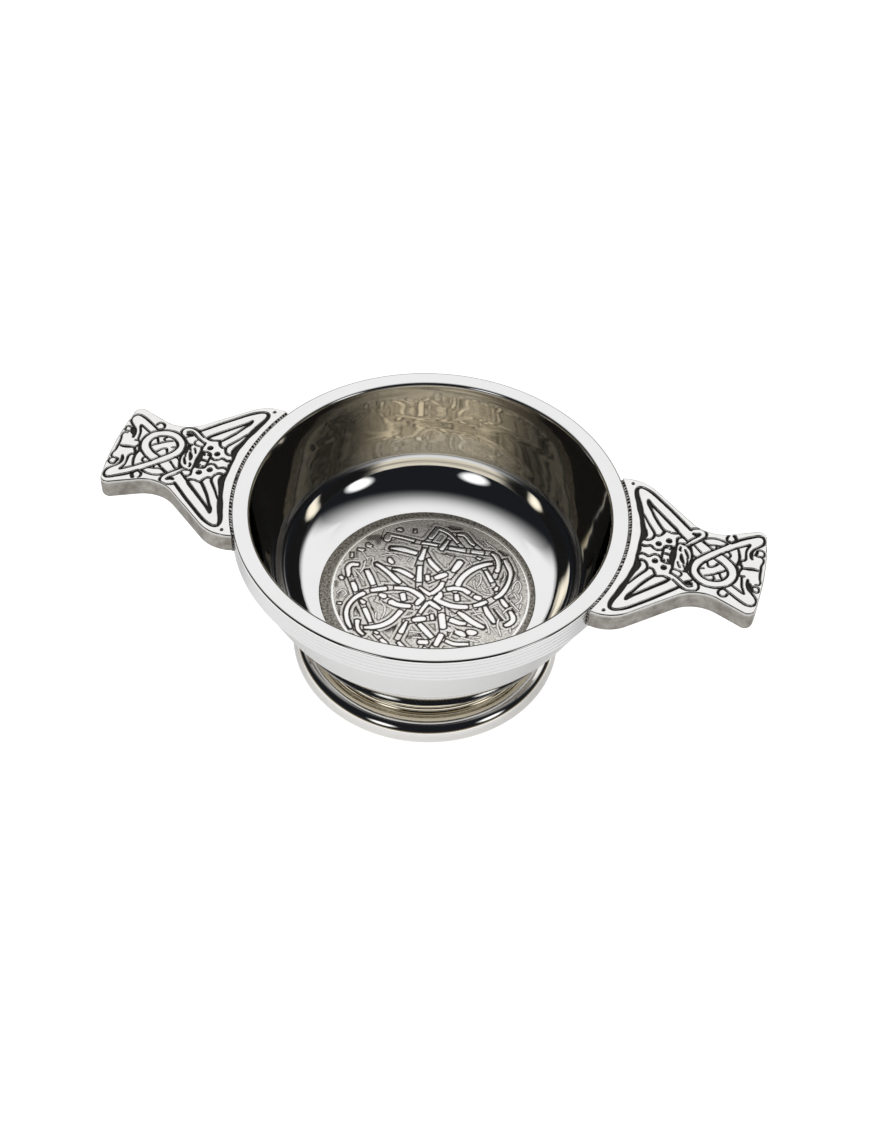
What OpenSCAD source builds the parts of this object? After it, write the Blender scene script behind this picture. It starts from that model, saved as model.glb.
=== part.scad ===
// Quaich: a shallow two-lugged drinking bowl on a foot, in polished pewter.
// The bowl's axis is Z, the lugs lie along X and the foot stands on z = 0.

/* [Bowl] */
// Outside diameter over the reeded band
bowl_d = 89; // [70:0.5:120]
// Height of the bowl from its underside to the top of the rim
bowl_h = 31.1; // [26:0.1:50]
// Breadth of the rim from the band to the drinking lip
rim_w = 4.2; // [3:0.1:7]
// Rounding of the rim's outer edge
rim_round = 0.7; // [0.3:0.1:1.2]
// Rounding of the drinking lip
lip_round = 1.2; // [0.4:0.1:1.8]
// Height of the reeded band under the rim
band_h = 6.4; // [5:0.1:12]
// How far the band stands out from the tapering wall
band_step = 0.3; // [0.1:0.05:1]
// Number of turned grooves in the band
band_grooves = 5; // [1:1:6]
// Distance from one groove to the next
groove_pitch = 1.1; // [0.8:0.05:1.3]
// Depth of each groove
groove_depth = 0.15; // [0.05:0.05:0.3]
// Taper of the outside wall, in degrees from upright
wall_taper = 23.6; // [10:0.1:30]
// Thickness of the wall where it is thinnest, just above the cove
wall_t = 1.5; // [1:0.1:2.5]
// Thickness of the floor
floor_t = 2; // [1.5:0.1:4]
// Rounding of the outside corner between wall and underside
heel_r = 6; // [3:0.5:8]
// Radius of the cove between inside wall and floor
cove_r = 10.2; // [5:0.1:12]

/* [Foot] */
// Height of the foot from the table to its top face
foot_h = 15.5; // [11:0.1:25]
// Diameter of the foot over its flange
foot_d = 64; // [56:0.5:72]
// Height of the flange at the bottom of the foot
flange_h = 6; // [5:0.1:8]
// Rounding of the flange's top edge
bead_r = 2.4; // [1:0.1:2.8]
// Rounding of the flange's bottom edge
toe_r = 1.8; // [0.5:0.1:2]
// Breadth of the turned ledge between bead and neck
ledge_w = 2; // [1:0.1:3]
// How far the ledge lies below the bead
ledge_drop = 0.3; // [0.1:0.05:0.8]
// How far the neck draws in between ledge and top face
neck_in = 1.4; // [0.4:0.1:3]
// Thickness of the neck's wall where it is thinnest
neck_t = 1.9; // [1:0.1:3]
// Breadth of the flat ring that stands on the table
tread_w = 2; // [1:0.1:3]

/* [Lugs] */
// How far each lug stands out from the band
lug_l = 30.4; // [28.6:0.2:40]
// Thickness of each lug
lug_t = 5.6; // [4:0.1:6]
// How far the lug's top lies below the rim
lug_drop = 0.1; // [0.1:0.1:1]
// Width of each lug at its widest place, near the bowl
root_w = 41.8; // [36:0.2:46]
// Distance of that place from the band
root_at = 3; // [2:0.2:4.4]
// Radius of the swelling curve there
root_r = 9; // [6:0.2:11]
// Width of each lug at its waist
waist_w = 18.4; // [14:0.2:21]
// Width of each lug at its end
end_w = 24.8; // [22:0.2:28]
// Distance of the waist from the band
waist_at = 18.2; // [16:0.2:20]
// Radius of the hollow curve at the waist
waist_r = 8.6; // [6:0.2:10]
// Rounding of the corners at the end
corner_r = 1.8; // [1.6:0.1:2.6]
// Breadth of the plain border round the carved field
border_w = 0.95; // [0.7:0.05:1]
// Breadth of the plain border beside the bowl
root_border_w = 1.7; // [1:0.1:4]
// Breadth of the carved line between border and field
carved_w = 0.6; // [0.3:0.05:0.6]
// Depth of the carved line
carved_depth = 0.7; // [0.2:0.1:1.5]

/* [Roundel] */
// Diameter of the stamped roundel in the bowl's floor
roundel_d = 50.9; // [30:0.1:51]
// Thickness of the roundel
roundel_t = 0.8; // [0.5:0.1:1]
// How far the roundel stands above the floor
roundel_proud = 0.1; // [0.05:0.05:0.4]
// Breadth of the roundel's raised border
roundel_border_w = 2.2; // [1:0.1:4]
// Depth of the roundel's ground below its border
roundel_ground = 0.2; // [0.1:0.05:0.3]

/* [Soldered joints] */
// Thickness of the solder between lug and band
lug_solder_t = 0.4; // [0.1:0.05:0.8]
// Thickness of the solder between foot and bowl
foot_solder_t = 0.2; // [0.1:0.05:0.5]
// How far that solder runs out past the foot's top edge
foot_solder_out = 0.4; // [0.1:0.1:1]
// Thickness of the solder under the roundel
roundel_solder_t = 0.1; // [0.05:0.05:0.2]
// Room round the roundel in its seat
roundel_clear = 0.05; // [0.02:0.01:0.2]

/* [Hidden] */
$fn = 96;
arc_steps = 12;
past = 1;

under_z = foot_h + foot_solder_t;
rim_z = under_z + bowl_h;
floor_z = under_z + floor_t;
band_z = rim_z - band_h;
lip_z = rim_z - lip_round;
bowl_r = bowl_d / 2;
lip_r = bowl_r - rim_w;
wall_top_r = bowl_r - band_step;

// The inside wall runs from the lip to a point that leaves the wall its least thickness.
cove_mid_z = floor_z + cove_r;
thin_r = outside_r(cove_mid_z) - wall_t / cos(wall_taper);
inner_taper = atan((lip_r - thin_r) / (lip_z - cove_mid_z));
cove_mid_r = thin_r - cove_r / cos(inner_taper);
heel_mid_z = under_z + heel_r;
heel_mid_r = outside_r(heel_mid_z) - heel_r / cos(wall_taper);
groove_r = 0.5 * groove_pitch;
groove_mid_z = 0.5 * (band_z + band_step + rim_z - rim_round);

foot_r = foot_d / 2;
bead_mid_r = foot_r - bead_r;
collar_r = bead_mid_r - ledge_w;
ledge_z = flange_h - ledge_drop;
neck_half_h = 0.5 * (foot_h - ledge_z);
neck_curve_r = (neck_half_h * neck_half_h + neck_in * neck_in) / (2 * neck_in);
neck_mid_z = ledge_z + neck_half_h;
neck_mid_r = collar_r - neck_in + neck_curve_r;
neck_half_angle = asin(neck_half_h / neck_curve_r);
hollow_r = collar_r - neck_in - neck_t;
tread_out_r = foot_r - toe_r;
tread_in_r = tread_out_r - tread_w;

lug_top_z = rim_z - lug_drop;
saddle_r = bowl_r + lug_solder_t;
end_r = bowl_r + lug_l;
root_y = root_w / 2 - root_r;
root_mid = [sqrt(bowl_r * bowl_r - root_w * root_w / 4) + root_at, root_y];
waist_mid = [bowl_r + waist_at, waist_w / 2 + waist_r];
end_y = end_w / 2 - corner_r;
end_mid = [sqrt(pow(end_r - corner_r, 2) - end_y * end_y), end_y];

roundel_r = roundel_d / 2;
seat_z = floor_z + roundel_proud - roundel_t - roundel_solder_t;

// Radius of the tapering outside wall at height z
function outside_r(z) = wall_top_r - (band_z - z) * tan(wall_taper);

// Unit vector at an angle, and the angle of a vector
function unit(a) = [cos(a), sin(a)];
function angle(v) = atan2(v.y, v.x);

// Points along an arc from angle a0 to angle a1
function arc(mid, r, a0, a1) =
    [for (i = [0 : arc_steps]) mid + r * unit(a0 + (a1 - a0) * i / arc_steps)];

// Swings the straight edge that leaves one circle and meets another on its far side
function cross_angle(from, to, reach) = acos(reach / norm(to - from));

// Outside of the bowl as a filled outline, with its rounded heel and rim edge
module bowl_outline() {
    polygon(concat(
        [[0, under_z]],
        arc([heel_mid_r, heel_mid_z], heel_r, -90, -wall_taper),
        [[wall_top_r, band_z], [bowl_r, band_z + band_step]],
        arc([bowl_r - rim_round, rim_z - rim_round], rim_round, 0, 90),
        [[0, rim_z]]));
}

// Inside of the bowl as a filled outline: floor, cove, wall and rounded lip
module hollow_outline() {
    polygon(concat(
        [[0, floor_z]],
        arc([cove_mid_r, cove_mid_z], cove_r, -90, -inner_taper),
        arc([lip_r + lip_round, lip_z], lip_round, 180, 90),
        [[lip_r + lip_round, rim_z + past], [0, rim_z + past]]));
}

// The bowl's outside as a solid, grooves included
module bowl_blank() {
    difference() {
        rotate_extrude() bowl_outline();
        for (i = [0 : band_grooves - 1])
            rotate_extrude()
                translate([bowl_r + groove_r - groove_depth,
                           groove_mid_z + (i - (band_grooves - 1) / 2) * groove_pitch])
                    circle(r = groove_r);
    }
}

// Turned bowl with its reeded band, flat rim and the roundel's seat
module bowl() {
    color([0.86, 0.86, 0.85])
        difference() {
            bowl_blank();
            rotate_extrude() hollow_outline();
            translate([0, 0, seat_z]) cylinder(r = roundel_r + roundel_clear, h = bowl_h);
        }
}

// Spun foot: flange with a beaded edge, turned ledge and a drawn-in neck, hollow below
module foot() {
    color([0.84, 0.84, 0.82])
        rotate_extrude()
            polygon(concat(
                [[tread_in_r, 0]],
                arc([foot_r - toe_r, toe_r], toe_r, -90, 0),
                arc([bead_mid_r, flange_h - bead_r], bead_r, 0, 90),
                [[bead_mid_r, ledge_z]],
                arc([neck_mid_r, neck_mid_z], neck_curve_r,
                    180 + neck_half_angle, 180 - neck_half_angle),
                [[hollow_r, foot_h], [hollow_r, ledge_z]]));
}

// Thin ring of solder between the foot's top face and the bowl's underside
module foot_solder() {
    color([0.55, 0.55, 0.54])
        translate([0, 0, foot_h])
            difference() {
                cylinder(r = collar_r + foot_solder_out, h = foot_solder_t);
                translate([0, 0, -past]) cylinder(r = hollow_r, h = foot_solder_t + 2 * past);
            }
}

// Fishtail plate of a lug, drawn in by inset, running on to the bowl's axis
module lug_plate(h, inset = 0) {
    r1 = root_r - inset;
    r2 = waist_r + inset;
    r3 = corner_r - inset;
    flank = angle(waist_mid - root_mid) + cross_angle(root_mid, waist_mid, root_r + waist_r);
    flare = angle(waist_mid - end_mid) - cross_angle(end_mid, waist_mid, waist_r + corner_r);
    tip = end_mid + r3 * unit(angle(end_mid));
    half = [[0, root_mid.y],
            root_mid + r1 * unit(90),
            root_mid + r1 * unit(flank),
            waist_mid - r2 * unit(flank),
            waist_mid - r2 * unit(flare),
            end_mid + r3 * unit(flare),
            tip];
    difference() {
        union() {
            linear_extrude(h)
                polygon(concat(half, [for (i = [len(half) - 1 : -1 : 0]) [half[i].x, -half[i].y]]));
            intersection() {
                cylinder(r = end_r - inset, h = h);
                translate([tip.x - past, -tip.y, 0]) cube([lug_l, 2 * tip.y, h]);
            }
            for (side = [-1, 1]) {
                translate([root_mid.x, side * root_mid.y, 0]) cylinder(r = r1, h = h);
                translate([end_mid.x, side * end_mid.y, 0]) cylinder(r = r3, h = h);
            }
        }
        for (side = [-1, 1])
            translate([waist_mid.x, side * waist_mid.y, -past]) cylinder(r = r2, h = h + 2 * past);
    }
}

// Part of the plate that lies clear of the bowl by standoff
module lug_field(h, inset, standoff) {
    difference() {
        lug_plate(h, inset);
        translate([0, 0, -past]) cylinder(r = saddle_r + standoff, h = h + 2 * past);
    }
}

// Cast lug on the right-hand side, its saddle standing off the band by the solder,
// with the line that is carved between its border and its field
module lug() {
    color([0.8, 0.8, 0.79])
        difference() {
            translate([0, 0, lug_top_z - lug_t]) lug_field(lug_t, 0, 0);
            translate([0, 0, lug_top_z - carved_depth])
                difference() {
                    lug_field(carved_depth + past, border_w, root_border_w);
                    translate([0, 0, -past])
                        lug_field(carved_depth + 3 * past, border_w + carved_w, root_border_w + carved_w);
                }
        }
}

// Solder that fills the space between a lug's saddle and the reeded band
module lug_solder() {
    color([0.42, 0.41, 0.4])
        difference() {
            translate([0, 0, lug_top_z - lug_t])
                intersection() {
                    lug_plate(lug_t);
                    cylinder(r = saddle_r, h = lug_t);
                }
            bowl_blank();
        }
}

module right_lug() { lug(); }
module right_lug_solder() { lug_solder(); }
module left_lug() { rotate([0, 0, 180]) lug(); }
module left_lug_solder() { rotate([0, 0, 180]) lug_solder(); }

// Stamped disc with a raised border, seated in the bowl's floor
module roundel() {
    color([0.58, 0.56, 0.53])
        translate([0, 0, seat_z + roundel_solder_t])
            difference() {
                cylinder(r = roundel_r, h = roundel_t);
                translate([0, 0, roundel_t - roundel_ground])
                    cylinder(r = roundel_r - roundel_border_w, h = roundel_ground + past);
            }
}

// Film of solder that holds the roundel in its seat
module roundel_solder() {
    color([0.5, 0.5, 0.49])
        translate([0, 0, seat_z]) cylinder(r = roundel_r, h = roundel_solder_t);
}

bowl();
foot();
foot_solder();
right_lug();
right_lug_solder();
left_lug();
left_lug_solder();
roundel();
roundel_solder();
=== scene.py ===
"""Quaich: a two-lugged pewter drinking bowl on a foot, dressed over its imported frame.
Shapes are worked out in millimetres, in the frame's own axes, and become metres in the mesh."""

import bpy
import numpy as np
from mathutils import Matrix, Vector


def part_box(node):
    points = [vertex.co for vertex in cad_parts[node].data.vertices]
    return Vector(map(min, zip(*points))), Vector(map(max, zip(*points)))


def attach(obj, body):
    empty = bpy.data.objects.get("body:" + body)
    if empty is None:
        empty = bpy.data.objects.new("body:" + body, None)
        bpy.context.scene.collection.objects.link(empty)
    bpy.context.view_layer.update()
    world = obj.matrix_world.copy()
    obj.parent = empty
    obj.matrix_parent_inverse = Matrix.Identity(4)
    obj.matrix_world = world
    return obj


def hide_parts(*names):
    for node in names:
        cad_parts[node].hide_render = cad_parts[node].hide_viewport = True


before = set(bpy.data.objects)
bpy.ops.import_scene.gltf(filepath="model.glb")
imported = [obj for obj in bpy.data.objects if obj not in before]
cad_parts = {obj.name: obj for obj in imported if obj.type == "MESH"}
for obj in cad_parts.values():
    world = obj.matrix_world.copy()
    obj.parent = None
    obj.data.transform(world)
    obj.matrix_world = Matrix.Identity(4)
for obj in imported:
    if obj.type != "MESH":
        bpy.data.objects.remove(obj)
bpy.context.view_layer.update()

# Bowl: turned pewter, burnished like a mirror inside and out. It has a broad flat rim with a
# rounded lip, a band of fine reeds under the rim, tapering walls and a rounded heel.
# The inside wall bends gently and runs into the floor through a cove, and the floor has a seat.
MM = 0.001
bowl_low, bowl_high = (np.array(corner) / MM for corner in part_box("bowl"))
bowl_r = bowl_high[0]
rim_z = bowl_high[2]
under_z = bowl_low[2]
rim_w = 4.2
rim_round = 0.7
lip_round = 0.9
band_h = 6.4
band_step = 0.3
reed_count = 5
reed_pitch = 1.1
reed_depth = 0.13
wall_taper = 23.6
belly_z = 28.6
belly_r = 57.0
lower_taper = 26.6
heel_r = 3.0
under_flat_r = 4
floor_z = under_z + 2.0
bend_z = 35.8
bend_r = 61.0
upper_slope = 9.5
lower_slope = 17.6
cove_turn = 30.0
floor_lean = 7.5
seat_r = 25.5
seat_depth = 0.8
seat_round = 0.12
wall_wave = 0.011
wave_margin = 3
turn_steps = 300
pewter_bright = (0.86, 0.86, 0.86, 1)
pewter_worn = (0.8, 0.8, 0.795, 1)
# Painted shade: the outside is greyer so that its reflection reads as dark as the shadowed table near the
# bowl.
outside_reflection_shade = (0.72, 0.72, 0.72, 1)
# Painted reflection: a warm tint on the inside wall and the foot's ledge stands in for warm surroundings
# seen in the polished metal.
warm_reflection_tint = (0.8, 0.735, 0.6, 1)


def arc(centre, radius, start, end, count):
    """Points of a circle about centre, from the start angle to the end angle in degrees."""
    angle = np.radians(np.linspace(start, end, count))
    return np.column_stack([centre[0] + radius * np.cos(angle), centre[1] + radius * np.sin(angle)])


def line(start, end, count):
    """Points of a straight stretch, crowded towards both ends by a cosine."""
    share = 0.5 - 0.5 * np.cos(np.linspace(0, np.pi, count))[:, None]
    return np.array(start) + share * (np.array(end) - np.array(start))


def polar(angle):
    """Unit vector at an angle in degrees."""
    return np.array([np.cos(np.radians(angle)), np.sin(np.radians(angle))])


def smooth(share):
    """Eases a share from 0 to 1 with level ends."""
    share = np.clip(share, 0, 1)
    return share * share * (3 - 2 * share)


def new_piece(name, points, faces, node, slot, metal, marks=None):
    """Makes the mesh from points in millimetres, with named values per point, puts it on its body in place
    of its CAD node, and gives it its metal."""
    mesh = bpy.data.meshes.new(name)
    mesh.from_pydata((points * MM).tolist(), [], faces)
    mesh.update()
    mesh.shade_smooth()
    for title, values in (marks or {}).items():
        layer = mesh.attributes.new(title, "FLOAT", "POINT")
        layer.data.foreach_set("value", np.ascontiguousarray(values, dtype=np.float32))
    piece = bpy.data.objects.new(name, mesh)
    bpy.context.scene.collection.objects.link(piece)
    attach(piece, "root")
    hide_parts(node)
    mesh.materials.append(metal)


def hoops(near, far):
    """Quads between rows of point numbers and the next rows, where each row runs round and closes."""
    return np.stack([near, np.roll(near, -1, 1), np.roll(far, -1, 1), far], axis=-1).reshape(-1, 4)


def turned(profile):
    """Surface of revolution: each profile point (r, z) becomes (r cos a, r sin a, z) for a full circle of a.
    A profile that starts on the axis ends in two fans there, and any other closes on itself."""
    angle = np.linspace(0, 2 * np.pi, turn_steps, endpoint=False)
    on_axis = profile[0, 0] < 1e-6
    rings = profile[1:-1] if on_axis else profile
    r, z = rings[:, :1], rings[:, 1:]
    points = np.stack([r * np.cos(angle), r * np.sin(angle), z + 0 * angle], axis=-1).reshape(-1, 3)
    index = np.arange(len(rings) * turn_steps).reshape(len(rings), turn_steps)
    below = index[:-1] if on_axis else index
    above = index[1:] if on_axis else np.roll(index, -1, axis=0)
    faces = hoops(below, above).tolist()
    if on_axis:
        poles = np.array([[0, 0, profile[0, 1]], [0, 0, profile[-1, 1]]])
        first, last = index[0], index[-1]
        low = np.full(turn_steps, len(points))
        faces += np.column_stack([low, np.roll(first, -1), first]).tolist()
        faces += np.column_stack([last, np.roll(last, -1), low + 1]).tolist()
        points = np.vstack([points, poles])
    return points, faces


band_z = rim_z - band_h
lip_r = bowl_r - rim_w
wall_top = np.array([bowl_r - band_step, band_z])
belly_top = wall_top - (band_z - belly_z) * np.array([np.tan(np.radians(wall_taper)), 1])
belly_mid = belly_top - belly_r * polar(-wall_taper)
belly_low = belly_mid + belly_r * polar(-lower_taper)
heel_h = heel_r * (1 - np.sin(np.radians(lower_taper)))
lower_run = (belly_low[1] - under_z - heel_h) / np.cos(np.radians(lower_taper))
heel_mid = belly_low - lower_run * polar(90 - lower_taper) - heel_r * polar(-lower_taper)
reed_z = np.linspace(band_z + band_step, rim_z - rim_round, 72)
reed_phase = (reed_z - reed_z.mean()) / reed_pitch
in_reeds = np.abs(reed_phase) < reed_count / 2
reed_cut = np.where(in_reeds, np.cos(np.pi * (reed_phase + (reed_count + 1) / 2)) ** 4, 0)
lip_mid = np.array([lip_r + lip_round, rim_z - lip_round])
lip_end = lip_mid + lip_round * polar(180 - upper_slope)
bend_top = np.array([lip_end[0] - (lip_end[1] - bend_z) * np.tan(np.radians(upper_slope)), bend_z])
bend_mid = bend_top - bend_r * polar(-upper_slope)
cove_top = bend_mid + bend_r * polar(-lower_slope)
lean_in, lean_turn, lean_out = (polar(angle) for angle in (floor_lean, cove_turn, 90 - lower_slope))
cove_legs = np.array([lean_turn - lean_in, lean_out - lean_turn])[:, ::-1] * [1, -1]
cove_reach = cove_top - [seat_r + seat_round, floor_z]
dish_r, cove_r = np.linalg.solve(cove_legs.T, cove_reach)
cove_mid = cove_top - cove_r * polar(-lower_slope)
dish_mid = cove_mid + (cove_r - dish_r) * polar(cove_turn - 90)
outside = np.vstack([
    [[0, under_z]],
    line([under_flat_r, under_z], [heel_mid[0] - 0.2, under_z], 10),
    arc(heel_mid, heel_r, -90, -lower_taper, 20),
    line(heel_mid + heel_r * polar(-lower_taper), belly_low, 14)[1:],
    arc(belly_mid, belly_r, -lower_taper, -wall_taper, 12)[1:],
    line(belly_top, wall_top, 14)[1:],
    np.column_stack([bowl_r - reed_depth * reed_cut, reed_z]),
])
rim = np.vstack([
    arc([bowl_r - rim_round, rim_z - rim_round], rim_round, 0, 90, 12)[1:],
    line([bowl_r - rim_round, rim_z], [lip_mid[0], rim_z], 10)[1:-1],
    arc(lip_mid, lip_round, 90, 180 - upper_slope, 16),
])
wall = np.vstack([
    line(lip_end, bend_top, 30)[1:],
    arc(bend_mid, bend_r, -upper_slope, -lower_slope, 34)[1:],
])
floor = np.vstack([
    arc(cove_mid, cove_r, -lower_slope, cove_turn - 90, 30)[1:],
    arc(dish_mid, dish_r, cove_turn - 90, floor_lean - 90, 20)[1:-1],
    arc([seat_r + seat_round, floor_z - seat_round], seat_round, 90, 180, 5),
    [[seat_r, floor_z - seat_depth], [seat_r - 0.3, floor_z - seat_depth], [0, floor_z - seat_depth]],
])
bowl_points, bowl_faces = turned(np.vstack([outside, rim, wall, floor]))
stretches = [len(outside) - 1, len(rim), len(wall), len(floor) - 1]
is_outside = np.repeat([1.0, 0, 0, 0], stretches)
is_wall = np.repeat([0, 0, 1.0, 0], stretches)
# These marks also place the painted shade outside and the painted warm reflection on the inside wall.
bowl_marks = {"outside": np.append(np.repeat(is_outside, turn_steps), [1, 0]),
              "wall": np.append(np.repeat(is_wall, turn_steps), [0, 0])}


def rippled(points, share):
    """Moves points in and out from the axis by two crossing waves in height and turn, as far as share
    allows and less towards the lugs, the lip and the cove."""
    turn, z = np.arctan2(points[:, 1], points[:, 0]), points[:, 2]
    wave = np.sin(0.85 * z + 1.3 * np.sin(3 * turn)) + 0.5 * np.sin(1.4 * z - 9 * turn + 1)
    ease = smooth((z - cove_top[1]) / wave_margin) * smooth((lip_end[1] - z) / wave_margin)
    ease = ease * (0.2 + 0.8 * np.sin(turn) ** 2)
    reach = np.maximum(np.hypot(points[:, 0], points[:, 1]), 1)
    scale = 1 + wall_wave * wave * ease * share / reach
    return points * np.column_stack([scale, scale, np.ones(len(points))])


def plug(tree, socket, source):
    """Feeds a socket from another one, or sets it to a plain value. None leaves it as it is."""
    if isinstance(source, bpy.types.NodeSocket):
        tree.links.new(source, socket)
    elif source is not None:
        socket.default_value = source


def feed(tree, shader, **sources):
    """Feeds the shader's sockets of these names."""
    for socket, source in sources.items():
        plug(tree, shader.inputs[socket.replace("_", " ").title()], source)


def new_material(name, **sources):
    """Material with a Principled shader whose named sockets are fed, and its node tree."""
    material = bpy.data.materials.new(name)
    material.use_nodes = True
    tree = material.node_tree
    shader = tree.nodes["Principled BSDF"]
    feed(tree, shader, **sources)
    return material, tree, shader


def add(tree, kind, *sources, **settings):
    """Adds a node, sets its settings, and feeds its inputs in order from sockets or plain values."""
    node = tree.nodes.new(kind)
    for setting, value in settings.items():
        setattr(node, setting, value)
    for socket, source in zip(node.inputs, sources):
        plug(tree, socket, source)
    return node


def place_of(tree):
    """Place on the piece, in the frame's axes and in metres."""
    return add(tree, "ShaderNodeTexCoord").outputs["Object"]


def mark(tree, title):
    """The mesh's own value of this name."""
    return add(tree, "ShaderNodeAttribute", attribute_name=title).outputs["Fac"]


def noise(tree, place, scale, detail, rough):
    """Cloudy value about 0.5, with scale lumps to the metre and layers of finer ones."""
    return add(tree, "ShaderNodeTexNoise", place, None, scale, detail, rough).outputs[0]


def vector(tree, operation, *sources):
    """One step of reckoning with vectors, which gives a number for a length or a dot product."""
    node = add(tree, "ShaderNodeVectorMath", *sources, operation=operation)
    return node.outputs["Value" if operation in ("LENGTH", "DOT_PRODUCT") else "Vector"]


def between(tree, factor, low, high):
    """Value that goes from low to high as factor goes from 0 to 1."""
    return add(tree, "ShaderNodeMapRange", factor, 0.0, 1.0, low, high).outputs[0]


def blend(tree, factor, first, second):
    """Colour that goes from first to second as factor goes from 0 to 1."""
    mix = add(tree, "ShaderNodeMix", data_type="RGBA")
    colours = [s for s in mix.inputs if s.type == "RGBA"]
    for socket, source in zip([mix.inputs[0], *colours], [factor, first, second]):
        plug(tree, socket, source)
    return next(s for s in mix.outputs if s.type == "RGBA")


def bumped(tree, strength, depth, height):
    """Normal of a surface that rises with height by up to depth metres."""
    bump = add(tree, "ShaderNodeBump", strength, depth)
    tree.links.new(height, bump.inputs["Height"])
    return bump.outputs[0]


def turning_group():
    """Lathe marks: noise read on (r, z) alone, so that it draws fine rings, and slow cloudy wear."""
    group = bpy.data.node_groups.new("turning_marks", "ShaderNodeTree")
    group.interface.new_socket("Rings", in_out="INPUT", socket_type="NodeSocketFloat")
    group.interface.new_socket("Marks", in_out="OUTPUT", socket_type="NodeSocketFloat")
    group.interface.new_socket("Wear", in_out="OUTPUT", socket_type="NodeSocketFloat")
    rings = group.nodes.new("NodeGroupInput").outputs["Rings"]
    place = place_of(group)
    radius = vector(group, "LENGTH", vector(group, "MULTIPLY", place, (1, 1, 0)))
    height = add(group, "ShaderNodeSeparateXYZ", place).outputs["Z"]
    across = add(group, "ShaderNodeCombineXYZ", radius, height, 0.0).outputs[0]
    scaled = vector(group, "SCALE", across, None, None, rings)
    out = group.nodes.new("NodeGroupOutput")
    group.links.new(noise(group, scaled, 1.0, 3.0, 0.6), out.inputs["Marks"])
    group.links.new(noise(group, place, 90.0, 4.0, 0.6), out.inputs["Wear"])
    return group


turning_marks = turning_group()


def pewter(name, rings, polish, dull):
    """Bright pewter: a white metal, greyer outside by painted shade and warmer on the inside wall and the
    foot's ledge by a painted warm reflection, whose gloss runs from polish to dull with the wear."""
    material, tree, shader = new_material(name, metallic=1.0)
    turning = add(tree, "ShaderNodeGroup", node_tree=turning_marks)
    turning.inputs["Rings"].default_value = rings
    wear = turning.outputs["Wear"]
    inner = mark(tree, "wall")
    tint = blend(tree, wear, pewter_bright, pewter_worn)
    # Painted shade outside, standing in for the darker table seen in the wall's reflection.
    tint = blend(tree, mark(tree, "outside"), tint, outside_reflection_shade)
    # Painted warm reflection on the inside wall and the foot's ledge.
    tint = blend(tree, inner, tint, warm_reflection_tint)
    rings_cut = bumped(tree, between(tree, inner, 0.05, 0.1), 0.00002, turning.outputs["Marks"])
    feed(tree, shader, base_color=tint, roughness=between(tree, wear, polish, dull), normal=rings_cut)
    return material


bowl_points = rippled(bowl_points, bowl_marks["wall"])
bowl_metal = pewter("burnished_bowl", 2600.0, 0.025, 0.06)
new_piece("turned_bowl", bowl_points, bowl_faces, "bowl", "bright_pewter", bowl_metal, bowl_marks)

# Foot: spun pewter ring with a beaded flange, a turned ledge and a drawn-in neck that carries
# three fine turned lines. It is open underneath and soldered to the bowl's underside.
foot_high = np.array(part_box("foot")[1]) / MM
foot_r = foot_high[0]
foot_h = foot_high[2]
flange_h = 6.0
bead_r = 3.4
toe_r = 1.8
ledge_w = 1.1
ledge_drop = 0.3
neck_in = 1.4
neck_t = 1.9
tread_w = 2.0
edge = 0.15
neck_lines = (6.5, 7.3, 8.1)
neck_line_w = 0.16
neck_line_d = 0.1
ledge_blur = 0.8
# Share of the painted warm reflection that also lies on the foot's bead.
bead_warm_reflection = 0.2

bead_mid = np.array([foot_r - bead_r, flange_h - bead_r])
collar_r = bead_mid[0] - ledge_w
ledge_z = flange_h - ledge_drop
neck_half = 0.5 * (foot_h - ledge_z)
neck_r = (neck_half ** 2 + neck_in ** 2) / (2 * neck_in)
neck_swing = np.degrees(np.arcsin(neck_half / neck_r))
neck_mid = np.array([collar_r - neck_in + neck_r, ledge_z + neck_half])
neck = arc(neck_mid, neck_r, 180 + neck_swing, 180 - neck_swing, 110)
neck[:, 0] -= neck_line_d * sum(np.exp(-((neck[:, 1] - z) / neck_line_w) ** 2) for z in neck_lines)
hollow_r = collar_r - neck_in - neck_t
tread_r = foot_r - toe_r
foot_profile = np.vstack([
    line([tread_r - tread_w, 0], [tread_r, 0], 6),
    arc([tread_r, toe_r], toe_r, -90, 0, 18)[1:],
    arc(bead_mid, bead_r, 0, 80, 24),
    arc([bead_mid[0], flange_h - edge], edge, 90, 180, 5),
    line([bead_mid[0] - edge, ledge_z], [collar_r + edge, ledge_z], 8),
    neck[1:],
    arc([hollow_r + edge, foot_h - edge], edge, 90, 180, 5),
    line([hollow_r, foot_h - 2 * edge], [hollow_r, ledge_z], 8),
    line([hollow_r + edge, ledge_z - 2 * edge], [tread_r - tread_w - edge, edge], 8),
])
foot_points, foot_faces = turned(foot_profile)
past_ledge = np.hypot(foot_points[:, 0], foot_points[:, 1]) - bead_mid[0]
on_ledge = smooth(0.5 - past_ledge / ledge_blur)
# The foot's "wall" mark carries the painted warm reflection: in full on the ledge, and a share of it on the
# bead.
foot_marks = {"wall": bead_warm_reflection + (1 - bead_warm_reflection) * on_ledge}
foot_metal = pewter("burnished_foot", 2200.0, 0.04, 0.1)
new_piece("spun_foot", foot_points, foot_faces, "foot", "bright_pewter", foot_metal, foot_marks)

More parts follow.
